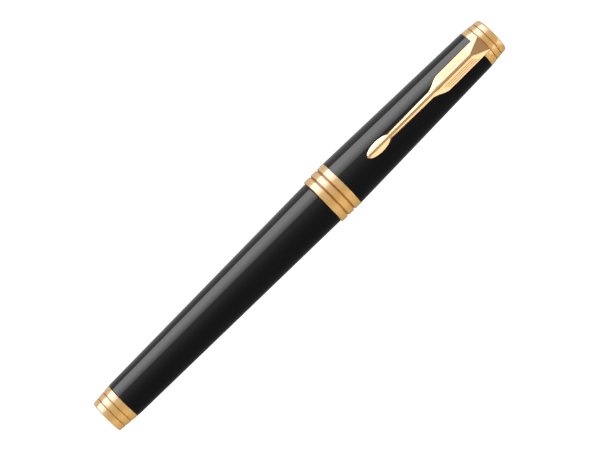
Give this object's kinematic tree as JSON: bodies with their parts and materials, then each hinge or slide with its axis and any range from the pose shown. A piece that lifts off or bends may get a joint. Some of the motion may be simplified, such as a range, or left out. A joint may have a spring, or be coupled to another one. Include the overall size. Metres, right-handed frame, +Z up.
{
  "type": "rollerball pen",
  "caption": "Capped rollerball pen with a tapering lacquered barrel, gold-plated end rings and cap band, a sprung pocket clip, a pull-off cap and a screw-in refill.",
  "frame": {"origin": "under the middle of the capped pen, on the surface that it lies on", "axes": "+X along the pen towards the end of the cap, +Z up through the pocket clip, +Y across"},
  "size_m": [0.138, 0.014, 0.0155],
  "materials": {
    "lacquer": "deep black lacquer, polished",
    "gold_trim": "gold plated, turned and finely brushed round the axis",
    "gold_polished": "gold plated, polished",
    "end_inlay": "gold plated, turned",
    "plain_brass": "turned, unplated",
    "grip_resin": "black, satin gloss",
    "liner_plastic": "moulded",
    "spring_steel": "drawn and stamped",
    "seat_plastic": "turned, natural white",
    "seal_rubber": "matt",
    "refill_metal": "drawn tube",
    "refill_plastic": "moulded",
    "tip_steel": "turned",
    "ink_fibre": "pressed fibre, soaked with ink"
  },
  "bodies": {
    "section": {"grip_shell": "grip_resin", "grip_coupler": "plain_brass", "coupler_seal": "seal_rubber", "section_collar": "gold_trim", "clutch_ring": "spring_steel", "nose_ring": "gold_trim"},
    "cap": {"cap_band": "gold_trim", "cap_sleeve": "plain_brass", "cap_tube": "lacquer", "inner_cap": "liner_plastic", "cap_bush": "plain_brass", "clip_mount": "spring_steel", "clip_washer": "spring_steel", "clip_screw": "spring_steel", "cap_end_ring": "gold_trim", "cap_end_disc": "end_inlay"},
    "clip": {"clip": "gold_polished"},
    "refill": {"refill_tube": "refill_metal", "refill_end_plug": "refill_plastic", "ink_reservoir": "ink_fibre", "refill_nose": "refill_plastic", "refill_tip": "tip_steel", "feed_rod": "ink_fibre"},
    "ball": {"writing_ball": "tip_steel"},
    "spring": {"refill_spring": "spring_steel"},
    "seat": {"spring_seat": "seat_plastic"},
    "barrel": {"barrel_tube": "lacquer", "barrel_end_ring": "gold_trim", "barrel_end_disc": "end_inlay", "barrel_plug": "plain_brass", "barrel_thread_insert": "plain_brass"}
  },
  "joints": [
    {"name": "cap_pull", "type": "slide", "parent": "section", "child": "cap", "axis": [1, 0, 0], "range_m": [0, 0.06]},
    {"name": "clip_flex", "type": "hinge", "parent": "cap", "child": "clip", "pos_m": [0.0645, 0, 0.01223], "axis": [0, 1, 0], "range_deg": [0, 5], "stiffness_Nm_per_rad": 3, "springref_deg": -1.72},
    {"name": "refill_float", "type": "slide", "parent": "section", "child": "refill", "axis": [-1, 0, 0], "range_m": [0, 0.001], "stiffness_N_per_m": 300, "springref_m": -0.004},
    {"name": "ball_roll", "type": "hinge", "parent": "refill", "child": "ball", "pos_m": [0.05315, 0, 0.00698], "axis": [0, 1, 0], "continuous": true},
    {"name": "barrel_withdraw", "type": "slide", "parent": "section", "child": "spring", "axis": [-1, 0, 0], "range_m": [0, 0.085]},
    {"name": "barrel_advance", "type": "slide", "parent": "spring", "child": "seat", "axis": [-1, 0, 0], "range_m": [0, 0.0044], "deforming": ["refill_spring"]},
    {"name": "barrel_turn", "type": "hinge", "parent": "seat", "child": "barrel", "pos_m": [0, 0, 0.00698], "axis": [-1, 0, 0], "range_deg": [0, 1980.1]}
  ],
  "couplings": [
    {"joint": "barrel_turn", "follows": "barrel_advance", "rad_per_m": 7854}
  ]
}
